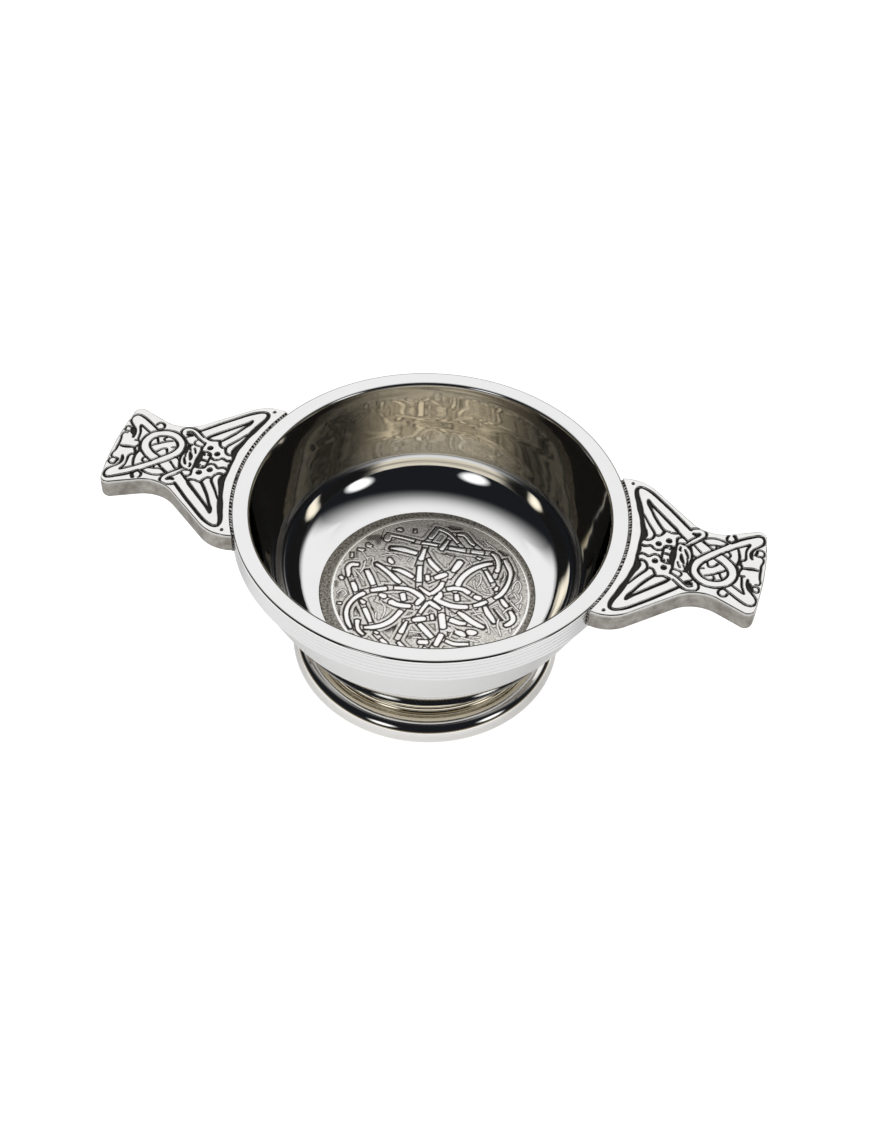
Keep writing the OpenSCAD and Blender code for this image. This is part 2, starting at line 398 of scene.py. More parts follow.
# Foot solder: thin ring of soft solder that joins the foot's top face to the bowl's underside
# and shows as a dull line in the corner between them.
seam_low, seam_high = (np.array(corner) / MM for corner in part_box("foot_solder"))
seam_bulge = 0.5 * (seam_high[2] - seam_low[2])
seam_mid = np.array([seam_high[0] - seam_bulge, seam_low[2] + seam_bulge])
seam_profile = np.vstack([
    line([hollow_r, seam_low[2]], [seam_mid[0] - seam_bulge, seam_low[2]], 5),
    arc(seam_mid, seam_bulge, -90, 90, 9),
    line([seam_mid[0] - seam_bulge, seam_high[2]], [hollow_r, seam_high[2]], 5),
])
seam_pale = (0.55, 0.53, 0.5, 1)
seam_dark = (0.055, 0.053, 0.05, 1)


def ramp(tree, value, low, high, kind="LINEAR"):
    """Share that goes from 0 to 1 as value goes from low to high, evenly or by another kind of step."""
    return add(tree, "ShaderNodeMapRange", value, low, high, 0.0, 1.0, interpolation_type=kind).outputs[0]


def grey_solder():
    """Dull grey solder: a rough metal whose colour and surface break up in fine grains."""
    material, tree, shader = new_material("seam_solder", metallic=1.0)
    grains = noise(tree, place_of(tree), 1900.0, 5.0, 0.7)
    spread = ramp(tree, grains, 0.38, 0.66)
    feed(tree, shader, base_color=blend(tree, spread, seam_dark, seam_pale),
         roughness=between(tree, spread, 0.6, 0.35), normal=bumped(tree, 0.6, 0.0001, grains))
    return material


seam_grey = grey_solder()
new_piece("foot_seam", *turned(seam_profile), "foot_solder", "solder", seam_grey)

# Lugs: the same fishtail casting twice, half a turn apart. An interlace is carved in the polished top
# as blackened grooves that leave the strands and the border standing, and the cast sides are satin.
lug_low, lug_high = (np.array(corner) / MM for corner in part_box("right_lug"))
lug_top_z = lug_high[2]
lug_under_z = lug_low[2]
saddle_gap = 0.4
saddle_r = bowl_r + saddle_gap
end_r = lug_high[0]
root_r = 9.0
root_mid = np.array([42.29, 11.9])
root_start = 115
waist_r = 8.6
waist_mid = np.array([62.7, 17.8])
corner_r = 1.8
corner_y = 10.6
corner_mid = np.array([np.sqrt((end_r - corner_r) ** 2 - corner_y ** 2), corner_y])
groove_depth = 0.6
groove_shoulder = 0.3
top_edge_r = 0.4
under_edge_r = 1.3
lug_rows = 288
lug_columns = 249
under_columns = 8
span_steps = 6
groove_black = (0.02, 0.018, 0.016, 1)
top_bright = (0.92, 0.92, 0.91, 1)
top_worn = (0.82, 0.81, 0.79, 1)
side_dark = (0.23, 0.21, 0.185, 1)
side_light = (0.425, 0.403, 0.373, 1)


def leaving_angle(start, end, reach, side):
    """Direction of the normal to the straight edge that leaves one circle and meets the far side
    of another."""
    way = end - start
    return np.degrees(np.arctan2(way[1], way[0]) + side * np.arccos(reach / np.hypot(*way)))


def lug_edge(inset):
    """Upper half of the fishtail outline drawn in by inset: root corner, flank, waist, flare and end corner,
    as arcs joined by tangent straight stretches, given as radius and angle about the bowl's axis."""
    flank = leaving_angle(root_mid, waist_mid, root_r + waist_r, 1)
    flare = leaving_angle(corner_mid, waist_mid, waist_r + corner_r, -1)
    tip = np.degrees(np.arctan2(corner_mid[1], corner_mid[0]))
    root = arc(root_mid, root_r - inset, root_start, flank, 36)
    waist = arc(waist_mid, waist_r + inset, 180 + flank, 180 + flare, 24)
    corner = arc(corner_mid, corner_r - inset, flare, tip, 14)
    edge_points = np.vstack([root, line(root[-1], waist[0], 20)[1:-1], waist,
                             line(waist[-1], corner[0], 20)[1:-1], corner])
    return np.hypot(*edge_points.T), np.arctan2(edge_points[:, 1], edge_points[:, 0])


def lug_point(row, column, inset):
    """Plan of the lug on two shares: row runs along the radius from saddle to end, and column from one
    flank at -1 to the other at 1, as a share of the outline's own angle at that radius."""
    edge_radius, edge_angle = lug_edge(inset)
    radius = saddle_r + row * (end_r - inset - saddle_r)
    angle = column * np.interp(radius, edge_radius, edge_angle)
    return radius * np.cos(angle), radius * np.sin(angle)


def curve_through(points):
    """Catmull-Rom curve through rows of (x, y, width). One that ends where it starts runs on smoothly
    there."""
    p = np.array(points, float)
    closed = np.allclose(p[0], p[-1])
    before = p[-2] if closed else 2 * p[0] - p[1]
    after = p[1] if closed else 2 * p[-1] - p[-2]
    p = np.vstack([before, p, after])
    a, b, c, d = p[:-3], p[1:-2], p[2:-1], p[3:]
    t = np.linspace(0, 1, span_steps, endpoint=False)[:, None, None]
    bend = (2 * a - 5 * b + 4 * c - d) * t ** 2 + (3 * b - a - 3 * c + d) * t ** 3
    curve = 0.5 * (2 * b + (c - a) * t + bend)
    return np.vstack([curve.transpose(1, 0, 2).reshape(-1, 3), p[-2:-1]])


def clearance(x, y, lines, square=False):
    """Distance from each (x, y) to the nearest edge of the lines, which is negative within a line's width.
    Their ends are round, or cut square across the last stretch."""
    gap = np.full(x.shape, 9.0)
    for points in lines:
        curve = curve_through(points)
        width = np.maximum(curve[:, 2], 0.1)
        reach = 0.5 * width.max() + 1.0
        low, high = curve[:, :2].min(0) - reach, curve[:, :2].max(0) + reach
        near = np.nonzero((x > low[0]) & (x < high[0]) & (y > low[1]) & (y < high[1]))[0]
        step = np.diff(curve[:, :2], axis=0)
        dx, dy = x[near, None] - curve[:-1, 0], y[near, None] - curve[:-1, 1]
        span = np.maximum(np.hypot(*step.T), 1e-6)
        along = (dx * step[:, 0] + dy * step[:, 1]) / span
        share = np.clip(along / span, 0, 1)
        half = 0.5 * (width[:-1] + share * np.diff(width))
        aside = np.abs(dx * step[:, 1] - dy * step[:, 0]) / span - half
        edge_gap = np.hypot(dx - share * step[:, 0], dy - share * step[:, 1]) - half
        if square:
            past = along[:, -1] - span[-1]
            for end, beyond in ((0, -along[:, 0]), (-1, past)):
                edge_gap[:, end] = np.where(beyond > 0, np.maximum(aside[:, end], beyond), edge_gap[:, end])
        gap[near] = np.minimum(gap[near], edge_gap.min(1))
    return gap


def mirrored(lines):
    """The same lines on the other side of the lug's middle line."""
    return [[(x, -y, width) for x, y, width in points] for points in lines]


root_lines = [
    [(47.2, 0, .75), (47.05, 2, .55), (47.3, 3.4, 1.0), (47.5, 4.4, 1.45), (47.35, 5.5, 1.35),
     (46.85, 7, 1.05), (46.3, 9, .85), (45.9, 10.5, 1.0), (45.4, 12, 1.2), (44.75, 14, 1.1),
     (44.0, 16, .95), (43.7, 17.4, .8), (43.9, 18.4, .6), (44.7, 18.75, .5), (45.7, 18.5, .5),
     (46.7, 18.0, .6), (48, 17.1, .65), (50, 15.4, .65), (53, 12.75, .65), (55, 10.85, .65),
     (56.2, 9.7, .65), (57.3, 8.65, .55)],
    [(46.75, 15.15, .55), (47.1, 14.4, 1.0), (48.0, 13.65, .7), (49.4, 12.4, .6), (51, 10.9, .65),
     (52.5, 9.5, .7), (54, 8.1, .75), (54.7, 7.3, .6)],
    [(46.8, 15.0, .6), (47.1, 14.1, .9), (47.6, 13.0, .6), (48.2, 11.85, .5), (49.0, 10.4, .55),
     (49.8, 9.2, .6), (50.5, 8.2, .6), (51.2, 7.3, .6), (51.7, 6.7, .6), (51.5, 6.0, .5), (51.1, 5.3, .4),
     (50.5, 4.95, .4), (49.9, 5.05, .4)],
    [(51.6, 6.9, .5), (52.5, 6.8, .35), (53.4, 6.55, .35), (54.2, 6.7, .5), (54.9, 7.0, .55)],
    [(46.3, 10.6, .5), (47.0, 9.7, .35), (47.7, 8.55, .4), (48.4, 7.5, .45), (49.1, 6.5, .5),
     (49.6, 5.7, .5), (49.75, 4.9, .45), (49.5, 4.0, .45), (49.0, 3.35, .45), (48.3, 3.1, .45),
     (47.6, 3.3, .5)],
    [(47.2, 1.5, .5), (48.0, 1.15, .5), (48.7, 1.3, .4), (49.3, 1.6, .4), (49.8, 1.4, .4),
     (50.3, .9, .35), (51, .68, .35), (51.7, .9, .4), (52.3, 1.5, .45), (52.5, 2.2, .45),
     (53.2, 2.55, .35), (54.0, 2.6, .4), (54.6, 2.4, .6)],
    [(54.8, 2.4, .5), (55.0, 3.5, .4), (54.85, 4.5, .4), (54.85, 5.2, .5)],
]
upper_lines = [
    [(54.9, 7.0, .6), (55.6, 6.4, .5), (56.4, 5.7, .45), (57.2, 5.1, .4), (57.8, 5.8, .35),
     (58.5, 6.55, .35), (59.3, 7.35, .35)],
    [(54.8, 5.2, .45), (55.3, 5.75, .4), (55.9, 5.95, .35)],
    [(54.9, 4.05, .3), (55.8, 4.0, .3), (56.8, 4.3, .3), (57.2, 5.0, .3)],
    [(57.7, 3.7, .7), (58.4, 4.55, .5), (59.4, 5.6, .4), (60.2, 6.5, .4), (60.8, 7.4, .4),
     (60.9, 8.4, .45), (60.4, 9.15, .4), (59.4, 9.5, .35), (58.4, 9.4, .35), (57.6, 9.05, .4),
     (57.2, 8.65, .5)],
    [(58.1, 7.6, .6), (58.8, 7.5, .9), (59.4, 7.9, .6)],
]
lower_lines = [
    [(54.8, -5.2, .45), (55.4, -5.4, .35), (56.4, -6.0, .35), (57.4, -6.75, .35), (58.4, -7.6, .35),
     (59.2, -8.0, .35), (59.9, -7.7, .4)],
    [(55.6, -7.0, .3), (56.6, -7.8, .35), (57.5, -8.6, .45), (58.6, -9.1, .4), (59.8, -9.15, .35),
     (60.9, -8.7, .35), (61.35, -7.8, .4), (61.2, -6.9, .4), (60.8, -6.2, .5)],
    [(57.1, -8.8, .55), (57.7, -8.7, .4)],
    [(58.5, -6.9, .7), (59.0, -7.0, 1.2), (59.5, -7.1, .9)],
    [(54.9, -4.0, .3), (55.9, -3.95, .3), (57.0, -4.3, .35), (57.2, -5.2, .3), (56.8, -5.8, .3)],
    [(57.6, -3.9, .5), (58.4, -4.0, .4), (59.3, -4.9, .4), (60.1, -5.7, .4), (60.6, -6.2, .5)],
    [(59.9, -5.7, .35), (59.2, -6.3, .4), (58.6, -6.8, .4)],
]
braid_lines = [
    [(52.3, 1.4, .4), (52.3, 0, .4), (52.3, -1.4, .4)],
    [(54.4, 2.3, .8), (54.5, 1.2, .9), (54.4, 0, 1.0), (54.5, -1.2, .9), (54.4, -2.3, .8)],
    [(52.5, 2.1, .5), (53.0, 2.0, .45)],
    [(52.5, -2.0, .5), (52.9, -1.9, .5)],
    [(52.4, .1, .4), (53.2, .1, .5), (54.1, 0, .6)],
    [(53.9, 2.2, .4), (53.7, 1.7, .3)],
    [(53.9, -2.0, .4), (53.7, -1.5, .3)],
    [(54.95, 3.5, .4), (54.95, 1.5, .4), (55.05, 0, .45), (54.95, -1.5, .4), (55.0, -3.0, .4),
     (55.2, -3.8, .3)],
    [(55.0, 3.6, .3), (55.6, 3.95, .25), (56.3, 3.85, .25), (57.2, 3.6, .3), (57.9, 3.2, .8)],
    [(55.9, 2.9, .3), (55.85, 2.2, .45), (56.1, 1.8, .3)],
    [(57.0, 2.3, .35), (57.4, 1.6, .5), (57.8, .7, .4), (57.95, .1, .2)],
    [(56.35, .8, .3), (56.5, 0, .7), (56.8, -.8, .7), (57.2, -1.6, .35)],
    [(55.9, -1.6, .25), (56.2, -2.4, .3), (56.6, -3.0, .3)],
    [(57.2, -2.1, .2), (57.7, -3.0, .3), (57.9, -3.8, .4)],
    [(57.9, 3.3, .8), (58.4, 2.3, .45), (58.7, 1.2, .45), (58.8, 0, .5), (58.5, -1.3, .6),
     (58.2, -2.5, .9), (58.15, -3.4, .9)],
    [(57.75, .1, .2), (58.0, -.9, .25), (58.0, -1.7, .4)],
]
ring_lines = [
    [(65.8, 6.7, .45), (65.3, 6.1, .4), (64.3, 5.2, .35), (63.2, 4.2, .35), (62.2, 3.3, .35),
     (61.2, 2.3, .4), (60.2, 1.2, .4), (59.3, .2, .45), (58.9, -1, .4), (58.75, -2.4, .5),
     (59.0, -3.8, .4), (59.6, -4.9, .4), (60.5, -5.9, .5), (61.7, -6.6, .45), (63, -6.95, .45),
     (64.4, -6.95, .45), (65.7, -6.6, .45), (66.9, -6.0, .4), (67.9, -5.2, .4), (68.7, -3.9, .5),
     (69.1, -2.4, .45), (69.0, -1, .45), (68.6, .4, .7), (67.7, 1.3, .4), (66.6, 2.3, .4),
     (65.6, 3.0, .4), (64.8, 3.4, .4)],
    [(70.6, 7.7, .5), (69.3, 6.9, .4), (68.0, 6.0, .4), (66.8, 5.0, .4), (65.6, 4.0, .4), (64.4, 2.9, .4),
     (63.4, 1.8, .4), (62.4, .8, .4), (61.4, -.3, .4), (60.8, -1.4, .4), (60.6, -2.6, .5),
     (61.0, -3.6, .5), (61.9, -4.5, .4), (63.0, -4.95, .4), (64.3, -4.95, .4), (65.6, -4.5, .45),
     (66.6, -3.5, .4), (67.0, -2.3, .4), (66.7, -1.1, .4), (66.0, -.2, .4), (65.0, .6, .5),
     (64.0, 1.2, .4), (63.3, 1.6, .35)],
    [(62.1, .4, .3), (62.3, -.3, .35), (62.7, -1.1, .45), (63.4, -1.0, .35), (64.0, -.5, .4),
     (64.5, .2, .5)],
    [(62.2, -3.9, .35), (63.2, -3.5, .4), (64.2, -2.9, .4), (65.0, -2.3, .45), (65.9, -1.7, .4),
     (66.4, -1.2, .35)],
    [(64.0, -4.6, .45), (64.3, -4.2, .4), (64.0, -3.6, .3)],
    [(65.9, -3.9, .4), (65.5, -3.2, .4), (65.2, -2.4, .3)],
    [(61.0, -2.1, .3), (61.6, -1.9, .35)],
    [(60.2, 5.9, .35), (61.3, 5.2, .35), (62.3, 4.5, .35), (62.7, 4.0, .3)],
    [(58.8, 4.2, .4), (59.6, 3.4, .35), (60.5, 2.5, .4)],
    [(60.0, .9, .35), (59.2, 1.0, .35), (58.8, 1.4, .35)],
    [(60.5, 6.2, .35), (61.2, 5.55, .35), (62.0, 5.25, .4), (62.6, 5.35, .3), (63.3, 5.5, .3),
     (64.2, 5.55, .35), (64.8, 5.8, .3)],
    [(60.7, 6.8, .4), (61.8, 7.3, .4), (63, 7.5, .4), (64.2, 7.4, .4), (65.2, 7.1, .45), (65.9, 6.8, .5)],
    [(62.3, 4.4, .3), (62.7, 4.2, .3), (63.2, 4.2, .3)],
    [(63.5, 4.6, .3), (63.6, 5.1, .3), (63.3, 5.5, .3)],
    [(67.1, 5.3, .35), (68.1, 5.9, .35), (68.6, 4.8, .45), (68.85, 3.6, .5), (68.9, 2.4, .5),
     (68.7, 1.2, .6)],
    [(66.2, 4.3, .35), (66.8, 3.7, .35), (66.75, 2.9, .35), (66.3, 2.5, .35)],
]
tail_lines = [
    [(66.6, 7.1, .5), (67.4, 7.7, .5), (68.2, 8.5, .65), (69.5, 9.35, .65), (70.8, 10.1, .6),
     (72.0, 10.75, .55), (72.9, 10.8, .55), (73.5, 10.2, .45), (73.65, 9.3, .45), (73.3, 8.3, .45),
     (72.6, 7.5, .4), (71.9, 6.8, .4), (71.4, 6.0, .5), (71.25, 5.2, .7), (71.35, 4.2, .6),
     (71.6, 3.6, .4)],
    [(70.6, 7.6, .5), (70.4, 6.9, .45), (70.15, 6.1, .35), (70.1, 5.2, .35), (70.2, 4.2, .4),
     (70.25, 3.4, .45), (69.9, 2.7, .45), (69.3, 2.5, .4)],
    [(69.2, 2.4, .5), (69.3, 1.5, .5), (69.8, .5, .45), (69.4, -.5, .4), (69.3, -1.5, .4),
     (69.8, -2.0, .4), (70.5, -1.9, .4)],
    [(70.2, .35, .45), (71.2, .5, .7), (72.3, .65, .7), (73.2, .6, .45)],
    [(73.5, 4.7, .3), (74.0, 4.2, .3), (74.1, 3.4, .3), (73.8, 2.2, .35), (73.8, 1, .4), (73.8, -.4, .4),
     (73.9, -1.6, .35), (74.15, -2.8, .3), (73.8, -3.6, .3), (73.2, -3.7, .3)],
    [(72.2, 5.0, .6), (72.4, 5.8, .5), (72.5, 6.5, .4), (73.2, 6.65, .35), (73.95, 6.2, .3),
     (74.05, 5.4, .3), (73.6, 4.8, .35), (72.8, 4.7, .35), (72.2, 5.0, .5)],
    [(66.4, 7.2, .55), (65.7, 7.6, .5), (65.45, 8.4, .45), (65.7, 9.3, .4)],
    [(66.9, 7.5, .5), (67.4, 8.1, .5), (67.4, 8.8, .65), (67.0, 9.4, .7)],
    [(66.9, -6.7, .4), (68.0, -7.5, .45), (69.4, -8.5, .5), (70.8, -9.4, .5), (72.0, -9.95, .45),
     (73.0, -9.95, .4), (73.7, -9.3, .4), (73.95, -8.3, .4), (73.5, -7.3, .4), (72.7, -6.3, .5),
     (72.0, -5.3, .75), (71.6, -4.2, .8), (71.45, -3.3, .6), (71.4, -2.7, .4)],
    [(71.9, -4.0, .8), (72.4, -4.9, .8), (72.7, -5.6, .5)],
    [(72.7, -4.4, .4), (73.4, -4.25, .3), (74.0, -4.6, .3), (74.1, -5.4, .3), (73.7, -5.85, .3),
     (73.0, -5.7, .35)],
    [(68.4, -5.3, .4), (69.3, -5.9, .4), (70.3, -6.55, .4), (71.05, -6.9, .35), (70.8, -6.0, .4),
     (70.4, -4.9, .4), (70.2, -3.6, .4), (70.05, -2.3, .35)],
    [(66.9, -6.6, .4), (66.0, -6.9, .4), (65.65, -7.6, .4), (65.8, -8.4, .45), (66.5, -8.85, .4),
     (67.2, -8.7, .4), (67.6, -8.0, .45)],
]
pits = [(51.05, 2.6, .6), (53.15, 4.05, .62), (51.05, -2.65, .6),
        (53.2, -4.05, .62), (42.5, 19.4, .28), (42.7, -19.5, .28)]


def lug_carving(x, y):
    """Height share of the lug's top: 1 where it was left standing, falling over a shoulder to 0 in the
    grooves."""
    lines = root_lines + mirrored(root_lines) + upper_lines + lower_lines
    gap = clearance(x, y, lines + braid_lines + ring_lines + tail_lines)
    for px, py, size in pits:
        gap = np.minimum(gap, np.hypot(x - px, y - py) - size)
    return smooth(gap / groove_shoulder + 0.5)


def sheet_faces(index):
    """Quads between the neighbours on a grid of point numbers."""
    quads = np.stack([index[:-1, :-1], index[1:, :-1], index[1:, 1:], index[:-1, 1:]], axis=-1)
    return quads.reshape(-1, 4).tolist()


def sheet_border(index):
    """Point numbers round the border of a grid."""
    return np.concatenate([index[:, 0], index[-1, 1:-1], index[::-1, -1], index[0, -2:0:-1]])


def skirt_faces(upper, lower):
    """Quads between a closed loop of point numbers and the loop below it."""
    return np.stack([upper, lower, np.roll(lower, -1), np.roll(upper, -1)], axis=-1).tolist()


def lug_mesh():
    """Top as a grid of carved heights; rings of the outline carried down a profile that rounds the top edge,
    drops straight and rounds under; and a coarse grid that closes the underside."""
    row = np.linspace(0, 1, lug_rows)
    column = np.linspace(-1, 1, lug_columns)
    rows, columns = np.meshgrid(row, column, indexing="ij")
    x, y = lug_point(rows, columns, top_edge_r)
    carved = lug_carving(x.ravel(), y.ravel())
    sway = 0.02 * np.sin(0.9 * x + 1.3) * np.sin(0.7 * y + 0.4) + 0.01 * np.sin(2.3 * x - 1.7 * y)
    top = np.column_stack([x.ravel(), y.ravel(), lug_top_z - groove_depth * (1 - carved) + sway.ravel()])
    index = np.arange(lug_rows * lug_columns).reshape(lug_rows, lug_columns)
    faces = sheet_faces(index)

    loop_row, loop_column = sheet_border(rows), sheet_border(columns)
    ring = sheet_border(index)
    rounding = np.radians(np.linspace(0, 90, 7))
    over = np.column_stack([top_edge_r * (1 - np.sin(rounding)),
                            lug_top_z - top_edge_r * (1 - np.cos(rounding))])
    under = np.column_stack([under_edge_r * (1 - np.cos(rounding)),
                             lug_under_z + under_edge_r * (1 - np.sin(rounding))])
    side = line(over[-1], under[0], 5)[1:-1]
    points, marks, cast = [top], [carved], [np.zeros(len(top))]
    count = len(top)
    for inset, z in np.vstack([over[1:], side, under]):
        px, py = lug_point(loop_row, loop_column, inset)
        next_ring = count + np.arange(len(ring))
        faces += skirt_faces(ring, next_ring)
        points.append(np.column_stack([px, py, np.full(len(px), z)]))
        marks.append(np.ones(len(px)))
        cast.append(np.full(len(px), smooth((lug_top_z - z) / (2 * top_edge_r))))
        ring = next_ring
        count += len(ring)

    step = (lug_columns - 1) // under_columns
    low_flank, high_flank = ring[:lug_rows], ring[lug_rows + lug_columns - 2:][:lug_rows][::-1]
    end_arc = np.concatenate([low_flank[-1:], ring[lug_rows:lug_rows + lug_columns - 2], high_flank[-1:]])
    saddle_arc = np.concatenate([low_flank[:1], ring[2 * lug_rows + lug_columns - 2:][::-1], high_flank[:1]])
    inner_rows, inner_columns = np.meshgrid(row[1:-1], column[step:-1:step], indexing="ij")
    px, py = lug_point(inner_rows.ravel(), inner_columns.ravel(), under_edge_r)
    points.append(np.column_stack([px, py, np.full(len(px), lug_under_z)]))
    marks.append(np.ones(len(px)))
    cast.append(np.ones(len(px)))
    inner = count + np.arange(len(px)).reshape(inner_rows.shape)
    under_grid = np.column_stack([low_flank[1:-1], inner, high_flank[1:-1]])
    faces += sheet_faces(under_grid.T)
    for c in range(under_columns):
        near_saddle = saddle_arc[c * step:(c + 1) * step + 1]
        near_end = end_arc[c * step:(c + 1) * step + 1]
        faces.append([*near_saddle.tolist(), int(under_grid[0, c + 1]), int(under_grid[0, c])])
        faces.append([int(under_grid[-1, c]), int(under_grid[-1, c + 1]), *near_end[::-1].tolist()])
    return np.vstack(points), faces, {"carving": np.concatenate(marks), "casting": np.concatenate(cast)}


def reckon(tree, operation, *sources):
    """One step of reckoning with numbers."""
    return add(tree, "ShaderNodeMath", *sources, operation=operation).outputs[0]


def cast_pewter():
    """Lug metal: polished on top, black in the grooves, and on the sides satin with brown-grey stains."""
    material, tree, shader = new_material("cast_lug")
    place = place_of(tree)
    casting = mark(tree, "casting")
    crest = ramp(tree, mark(tree, "carving"), 0.3, 0.75)
    grain = noise(tree, place, 1400.0, 4.0, 0.65)
    cloud = noise(tree, place, 330.0, 5.0, 0.7)
    polished = blend(tree, cloud, top_bright, top_worn)
    satin = blend(tree, ramp(tree, cloud, 0.35, 0.65), side_dark, side_light)
    skin = blend(tree, casting, polished, satin)
    gloss = between(tree, casting, between(tree, crest, 0.6, 0.2), 0.38)
    pitting = bumped(tree, 0.25, 0.00006, reckon(tree, "MULTIPLY", grain, casting))
    feed(tree, shader, base_color=blend(tree, crest, groove_black, skin), roughness=gloss,
         metallic=between(tree, crest, 0.2, 1.0), normal=pitting)
    return material


lug_points, lug_faces, lug_marks = lug_mesh()
lug_metal = cast_pewter()
sides = {"right": np.array([1, 1, 1]), "left": np.array([-1, -1, 1])}
for side, half_turn in sides.items():
    new_piece(side + "_carved_lug", lug_points * half_turn, lug_faces, side + "_lug", "cast_pewter",
              lug_metal, lug_marks)

# Lug solder: a grainy fillet of solder in the narrow gap between each lug's saddle and the band.
# It stands a little below the lug's top and its surface is lumpy.
fillet_sink = 0.2
fillet_edge = 0.2
fillet_lump = 0.12
fillet_short = 0.012
fillet_steps = 700
drops = 290
drop_black = (0.02, 0.016, 0.014, 1)
drop_bright = (0.86, 0.84, 0.82, 1)


def fillet_mesh():
    """Section of the gap carried round the saddle's arc, its crown lifted and lowered in uneven drops."""
    radius, angle = lug_edge(0)
    reach = np.interp(saddle_r, radius, angle) - fillet_short
    turn = np.linspace(-reach, reach, fillet_steps)[:, None]
    lump = np.sin(drops * turn + 2.2 * np.sin(31 * turn + 1)) + 0.5 * np.sin(0.37 * drops * turn + 2)
    crown_z = lug_top_z - fillet_sink
    wall_r = bowl_r - reed_depth
    section = np.array([
        [wall_r, lug_under_z], [saddle_r, lug_under_z],
        [saddle_r, crown_z - fillet_edge], [saddle_r, crown_z],
        [saddle_r - 0.1, crown_z + 0.05], [bowl_r + 0.2, crown_z + 0.08],
        [bowl_r + 0.05, crown_z], [wall_r, crown_z - fillet_edge],
    ])
    lifted = np.array([0, 0, 0, 1, 1.5, 2, 1, 0])
    r = section[:, 0] + 0 * turn
    z = section[:, 1] + 0.5 * fillet_lump * lifted * lump
    points = np.stack([r * np.cos(turn), r * np.sin(turn), z], axis=-1).reshape(-1, 3)
    index = np.arange(len(points)).reshape(fillet_steps, len(section))
    sleeve = hoops(index[:-1], index[1:])[:, ::-1].tolist()
    faces = [*sleeve, index[0].tolist(), index[-1][::-1].tolist()]
    clear = 0.3 + 0.3 * np.sin(9 * turn[:, 0] + 4) * np.sin(23 * turn[:, 0])
    return points, faces, {"drop": np.repeat(smooth(0.5 + clear * lump[:, 0]), len(section))}


def beaded_solder():
    """Lug solder: bright drops on a black line, roughened by grains."""
    material, tree, shader = new_material("beaded_solder", metallic=1.0)
    grains = noise(tree, place_of(tree), 2600.0, 4.0, 0.6)
    bright = ramp(tree, reckon(tree, "MULTIPLY", mark(tree, "drop"), grains), 0.2, 0.42)
    feed(tree, shader, base_color=blend(tree, bright, drop_black, drop_bright),
         roughness=between(tree, bright, 0.6, 0.25))
    return material


fillet_points, fillet_faces, fillet_marks = fillet_mesh()
fillet_metal = beaded_solder()
for side, half_turn in sides.items():
    new_piece(side + "_lug_fillet", fillet_points * half_turn, fillet_faces, side + "_lug_solder", "solder",
              fillet_metal, fillet_marks)

# Roundel: a stamped pewter disc set in the bowl's floor on a film of solder. Interlaced strands
# stand up bright from a hatched, antiqued ground, inside a bright line and a dull broad border.
roundel_low, roundel_high = (np.array(corner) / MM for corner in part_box("roundel"))
roundel_r = roundel_high[0]
roundel_top_z = roundel_high[2]
roundel_under_z = roundel_low[2]
stamp_depth = 0.05
stamp_middle = (0.7, 0.3)
stamp_shoulder = 0.2
ring_r = 23.2
ring_w = 0.55
border_start = 23.5
border_height = 0.55
edge_fall = 0.05
edge_w = 0.3
under_reach = 2.3
under_meet = 0.7
long_stroke = 2.2
strand_height = 0.66
outline_w = 0.32
under_outline_w = 0.26
outline_fade = 0.25
rail_gap = 0.75
rail_w = 0.25
rail_rise = 0.2
ditch_gap = 1.2
ditch_w = 0.32
ditch_fall = 0.34
shade_fall = 0.4
ground_least = 0.02
thread_height = 0.85
roundel_steps = 298
outline_black = (0.045, 0.04, 0.034, 1)
ground_brown = (0.56, 0.53, 0.48, 1)
ground_worn = (0.8, 0.775, 0.73, 1)
ground_clear = (1.0, 0.985, 0.96, 1)
stroke_bright = (0.98, 0.975, 0.965, 1)
border_dark = (0.1, 0.09, 0.076, 1)
border_light = (0.41, 0.386, 0.35, 1)
